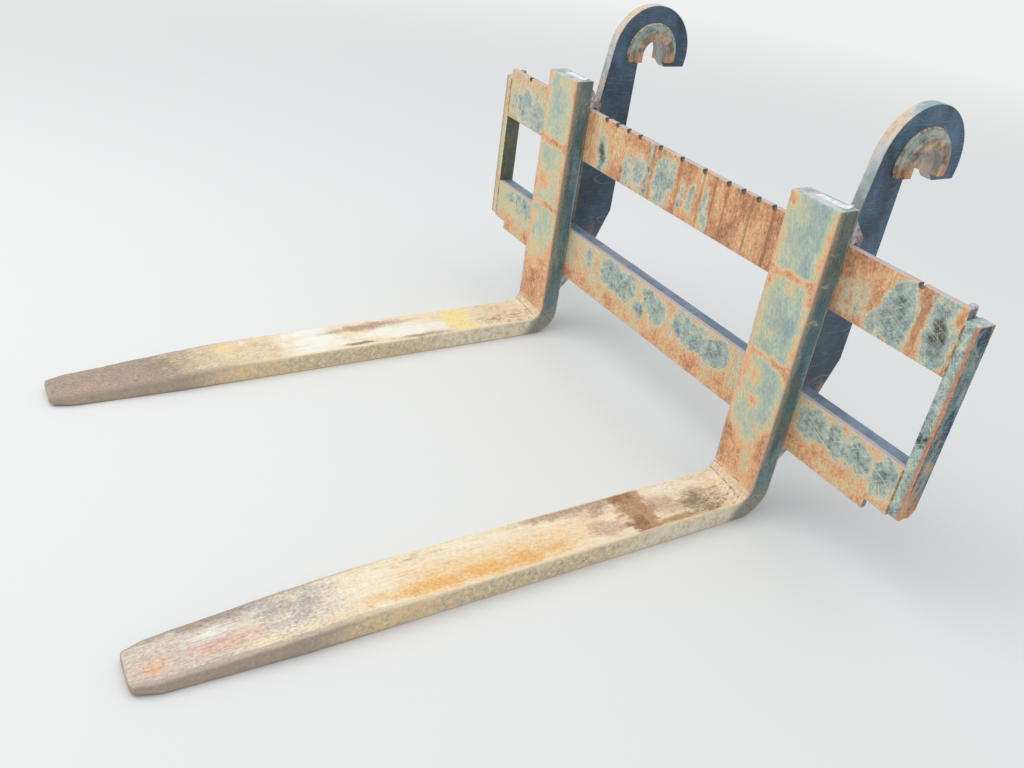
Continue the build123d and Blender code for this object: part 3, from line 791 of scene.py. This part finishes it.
def corner_radii(y, z, depth, station, side):
    """Worn radius of the section's four corners, clockwise from the first top one."""
    front_wear = ease(-y, 0.15, 0.5)
    upright = ease(z, 0.06, 0.12)
    radii = []
    for index in range(4):
        on_top = index in (0, 3)
        radius = EDGE_RADIUS + (TIP_WEAR * front_wear + HEEL_WEAR * (1 - upright) if on_top else 0.0)
        radius *= 1 + 0.26 * ripple(station, index + side * 2, 0.06) + 0.14 * ripple(station, index + 9, 0.013)
        radii.append(min(radius, depth * 0.42))
    return radii


def section_ring(half_width, depth, radii):
    """Points of a rounded section as (across, down, wear), clockwise from the first top corner."""
    across_steps, through_steps, corner_steps, wear_reach = 30, 10, 4, 0.005
    arcs = []
    for radius, out_x, out_d in zip(radii, (1, 1, -1, -1), (-1, 1, 1, -1)):
        turns = [math.radians(90 * step / corner_steps) for step in range(corner_steps + 1)]
        if out_x == out_d:
            turns.reverse()
        x, d = out_x * half_width, depth if out_d > 0 else 0.0
        arcs.append([
            (x - out_x * radius * (1 - math.sin(turn)), d - out_d * radius * (1 - math.cos(turn))) for turn in turns
        ])
    points = []
    for index, arc in enumerate(arcs):
        points += [(*point, 1.0) for point in arc]
        here, there = arc[-1], arcs[(index + 1) % 4][0]
        run = math.dist(here, there)
        steps = across_steps if index % 2 else through_steps
        for step in range(1, steps):
            share = step / steps
            place = [start + (end - start) * share for start, end in zip(here, there)]
            points.append((*place, math.exp(-min(share, 1 - share) * run / wear_reach)))
    return points


def skin(count, around):
    """Faces of a closed skin over rings of points."""
    faces = []
    for first in range(0, count - around, around):
        for index in range(around):
            a, b = first + index, first + (index + 1) % around
            faces.append((a, b, b + around, a + around))
    return faces + [tuple(range(around - 1, -1, -1)), tuple(range(count - around, count))]


def fork_arm(hand, side, material):
    """Forged arm as one closed skin with rolled, nicked edges."""
    vertices, wear = [], []
    station, previous = 0.0, None
    for inner, outer, shrink in arm_sections():
        down = Vector((0, outer[0] - inner[0], outer[1] - inner[1]))
        depth = down.length
        down.normalize()
        middle = ((inner[0] + outer[0]) / 2, (inner[1] + outer[1]) / 2)
        station += math.dist(previous, middle) if previous else 0.0
        previous = middle
        half_width = plan_half_width(middle[0])
        ring = section_ring(half_width, depth, corner_radii(*middle, depth, station, side))
        for across, deep, value in ring:
            across *= 1 - shrink / half_width
            deep = depth / 2 + (deep - depth / 2) * (1 - 2 * shrink / depth)
            vertices.append(Vector((side * FORK_X + across, *inner)) + down * deep)
            wear.append(value)
    faces = skin(len(vertices), len(ring))
    piece = mesh_piece(f"worn_fork_arm_{hand}", vertices, faces, material, f"fork_{hand}")
    waves, dents, nicks = 22, 90, 55  # cells of noise in a metre
    normals = [vertex.normal.copy() for vertex in piece.data.vertices]
    for vertex, normal, value in zip(piece.data.vertices, normals, wear):
        place = vertex.co
        hollow = max(0.0, noise.noise(place * waves) * WAVE_DEPTH + noise.noise(place * dents) * DENT_DEPTH)
        nick = value * max(0.0, noise.noise(place * nicks + Vector((7, 0, 0))) - 0.25) * NICK_DEPTH
        vertex.co = place - normal * (hollow + nick)
    values = piece.data.attributes.new("edge", "FLOAT", "POINT")
    values.data.foreach_set("value", wear)
    return piece


def bead(name, points, radius, body, material, seed):
    """Weld bead along a line, with scalloped ripples and tapered ends."""
    around, pitch, step_length = 10, 0.0045, 0.0012
    path = [Vector(point) for point in points]
    lengths = [(b - a).length for a, b in zip(path, path[1:])]
    total = sum(lengths)
    steps = max(6, int(total / step_length))
    centres = []
    for step in range(steps + 1):
        target = total * step / steps
        run = 0.0
        for a, b, length in zip(path, path[1:], lengths):
            if target <= run + length + 1e-9 or b is path[-1]:
                centres.append(a.lerp(b, min(1.0, (target - run) / length)))
                break
            run += length
    vertices = []
    for step, centre in enumerate(centres):
        before, after = centres[max(0, step - 1)], centres[min(steps, step + 1)]
        forward = (after - before).normalized()
        helper = Vector((0, 0, 1)) if abs(forward.z) < 0.9 else Vector((1, 0, 0))
        side_way = forward.cross(helper).normalized()
        up_way = side_way.cross(forward)
        place = total * step / steps
        size = radius * math.sqrt(min(1.0, 0.12 + min(place, total - place) / radius))
        size *= 1 + 0.16 * ripple(place, seed, 0.02)
        for turn in range(around):
            angle = 2 * math.pi * turn / around
            phase = place / pitch + 0.35 * math.cos(angle * 2)
            scallop = 0.1 * (1 - abs(2 * (phase % 1.0) - 1) ** 2)
            offset = side_way * math.cos(angle) + up_way * math.sin(angle)
            vertices.append(centre + offset * size * (0.92 + scallop))
    mesh_piece(name, vertices, skin(len(vertices), around), material, body)


def welds(material):
    """Beads where the carriage's plates and the forks' hooks are joined."""
    faces = (("inner", -1), ("outer", 1))
    for hand, side in SIDES:
        beads = []
        for rail, low, high in (("upper", UPPER_BOTTOM, UPPER_LEDGE), ("lower", LOWER_LEDGE, LOWER_TOP)):
            for which, x, y, radius, seed in BAR_WELDS:
                line = [(side * x, y, z) for z in (low + BEAD_GAP, high - BEAD_GAP)]
                beads.append((f"bar_{which}_{rail}", line, radius, "rail_steel", side + seed))
            for which, face in faces:
                x = side * HANGER_X + face * HANGER_WELD
                line = [(x, RAIL_BACK + 0.001, z) for z in (low + HANGER_GAP, high - BEAD_GAP)]
                beads.append((f"hanger_{rail}_{which}", line, HANGER_BEAD, "hanger_paint", 5 + face))
        for which, face in faces:
            x = side * (HANGER_X + face * HANGER_WELD)
            arc = []
            for step in range(COLLAR_STEPS + 1):
                turn = math.radians(COLLAR_START + COLLAR_SWEEP * step / COLLAR_STEPS)
                arc.append((x, HOOK_Y + COLLAR_WELD * math.cos(turn), HOOK_Z + COLLAR_WELD * math.sin(turn)))
            beads.append((f"collar_{which}", arc, COLLAR_BEAD, "hanger_paint", 11 + face))
        for name, points, radius, slot, seed in beads:
            bead(f"weld_{name}_{hand}", points, radius, "carriage", material, seed)
        for which, z, half_length, seed in HOOK_WELDS:
            line = [(side * FORK_X + x, SHANK_BACK, z) for x in (-half_length, half_length)]
            name = f"weld_{which}_hook_{hand}"
            bead(name, line, HOOK_BEAD, f"fork_{hand}", material, seed)


def stickers(material):
    """Bare sticker on each shank's top, its back corner peeled up."""
    columns, rows, peel_start = 24, 8, 1.25
    width = columns + 1
    count = width * (rows + 1)
    faces = []
    for row in range(rows):
        for column in range(columns):
            a = row * width + column
            b = a + width
            faces += [(a, a + 1, b + 1, b), (count + a, count + b, count + b + 1, count + a + 1)]
    border = [*range(columns), *range(columns, count - 1, width)]
    border += [*range(count - 1, count - width, -1), *range(count - width, 0, -width)]
    for here, there in zip(border, border[1:] + border[:1]):
        faces.append((here, count + here, count + there, there))
    for hand, side in SIDES:
        vertices = []
        for lift in (STICKER_THICKNESS, 0.0):
            for place in range(count):
                u, v = place % width / columns, place // width / rows
                peel = max(0.0, u + v * 0.6 - peel_start) ** 2 * STICKER_PEEL
                vertices.append((
                    side * FORK_X + STICKER_X + u * STICKER_LENGTH,
                    SHANK_FRONT + STICKER_Y + v * STICKER_DEPTH + u * STICKER_SLANT,
                    FORK_HEIGHT + STICKER_GAP + lift + peel,
                ))
        piece = mesh_piece(f"sticker_{hand}", vertices, faces, material, f"fork_{hand}")
        piece.data.shade_flat()


def finish_nodes():
    """Gives every CAD node that stays its material."""
    upper = rail_steel(
        "upper_rail_steel", UPPER_BOTTOM, UPPER_TOP, UPPER_PATCHES, seed=1, pale=(0.0, 0.2), foot=0.02, drawn=1.8,
        fringe=0.35, notches=NOTCHES, runs=UPPER_RUNS,
    )
    lower = rail_steel(
        "lower_rail_steel", LOWER_BOTTOM, LOWER_TOP, LOWER_PATCHES, seed=15, pale=(0.24, 0.4), foot=0.1, drawn=1.2,
        fringe=0.6,
    )
    pin, hook = bare_steel(), hook_steel()
    by_prefix = {
        "upper_rail": upper, "lower_rail": lower, "end_bar": end_bar_steel(), "end_stop": hook,
        "hanger": hanger_paint(), "hook_collar": collar_steel(), "lock_bush": pin, "latch_pin": pin,
        "top_hook": hook, "bottom_hook": hook, "fork_arm": hook,
    }
    for name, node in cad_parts.items():
        material = next(value for prefix, value in by_prefix.items() if name.startswith(prefix))
        node.data.materials.clear()
        node.data.materials.append(material)


def forks():
    """Both worn arms, in place of the plain ones."""
    for hand, side in SIDES:
        stains, shifts = (RIGHT_BLADE, RIGHT_SHANK) if side > 0 else (LEFT_BLADE, LEFT_SHANK)
        material = fork_steel(f"fork_steel_{hand}", side, stains, shifts)
        arm = fork_arm(hand, side, material)
        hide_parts(f"fork_arm_{hand}")


# Camera: place in metres, angles in degrees, lens in millimetres
CAMERA_PLACE = (1.4879, -0.8811, 1.1701)
CAMERA_TURN, CAMERA_DROP, CAMERA_ROLL = 55.984, 30.699, 8.2439
CAMERA_LENS = 32.99

FLOOR_COLOUR = (0.8, 0.8, 0.78, 1.0)
FLOOR_HALF = 40.0
BACKDROP_COLOUR = (0.86, 0.87, 0.87, 1.0)
FADE_START, FADE_END = 1.5, 7.0
SKY_COLOUR = (0.92, 0.96, 1.0, 1.0)
SKY_STRENGTH = 0.68
# Lights: name, place, size, power
LIGHTS = (("key", (-1.6, -3.0, 4.2), 4.0, 105), ("top", (0.4, 0.6, 4.8), 4.5, 55))
LIGHT_TARGET = Vector((0, 0, 0.2))


def camera():
    """Camera beside the right fork's tip, looking down over the part."""
    place = Matrix.Translation(CAMERA_PLACE)
    for angle, axis in ((CAMERA_TURN, "Z"), (90 - CAMERA_DROP, "X"), (CAMERA_ROLL, "Z")):
        place @= Matrix.Rotation(math.radians(angle), 4, axis)
    data = bpy.data.cameras.new("camera")
    data.sensor_width = 36.0
    data.lens = CAMERA_LENS
    lens = add("camera", data)
    lens.matrix_world = place
    bpy.context.scene.camera = lens


def show_backdrop(g, lit, kind, output, *share):
    """Joins a lit shader and the plain backdrop, which camera, reflections and refractions see by the share."""
    rays = g.new("LightPath").outputs
    seen = g.most(rays["Is Camera Ray"], rays["Is Glossy Ray"], rays["Is Transmission Ray"])
    plain = g.new(kind, {"Color": BACKDROP_COLOUR})
    mix = g.new("MixShader", {0: g.times(seen, *share), 1: lit.outputs[0], 2: plain.outputs[0]})
    g.new(output, {"Surface": mix.outputs[0]})


def stage():
    """Pale floor that fades into the backdrop, and plain soft light."""
    mesh = bpy.data.meshes.new("floor")
    corners = [(x * FLOOR_HALF, y * FLOOR_HALF, 0) for x, y in ((-1, -1), (1, -1), (1, 1), (-1, 1))]
    mesh.from_pydata(corners, [], [(0, 1, 2, 3)])
    floor = add("floor", mesh)
    floor.location.z = -0.0005
    g = Surface("floor")
    inputs = {"Base Color": FLOOR_COLOUR, "Roughness": 0.9, "Specular IOR Level": 0.1}
    fade = g.ramp(g.distance(g.x, g.y), FADE_START, FADE_END)
    show_backdrop(g, g.new("BsdfPrincipled", inputs), "Emission", "OutputMaterial", fade)
    mesh.materials.append(g.owner)
    for name, place, size, power in LIGHTS:
        data = bpy.data.lights.new(name, "AREA")
        data.shape, data.size, data.energy = "SQUARE", size, power
        lamp = add(name, data)
        lamp.location = place
        lamp.rotation_euler = (LIGHT_TARGET - Vector(place)).to_track_quat("-Z", "Y").to_euler()
    world = bpy.data.worlds.new("world")
    bpy.context.scene.world = world
    g = Graph(world)
    sky = g.new("Background", {"Color": SKY_COLOUR, "Strength": SKY_STRENGTH})
    show_backdrop(g, sky, "Background", "OutputWorld")


finish_nodes()
forks()
welds(weld_steel())
stickers(label_white())
camera()
stage()
bpy.context.scene.view_settings.view_transform = "Standard"
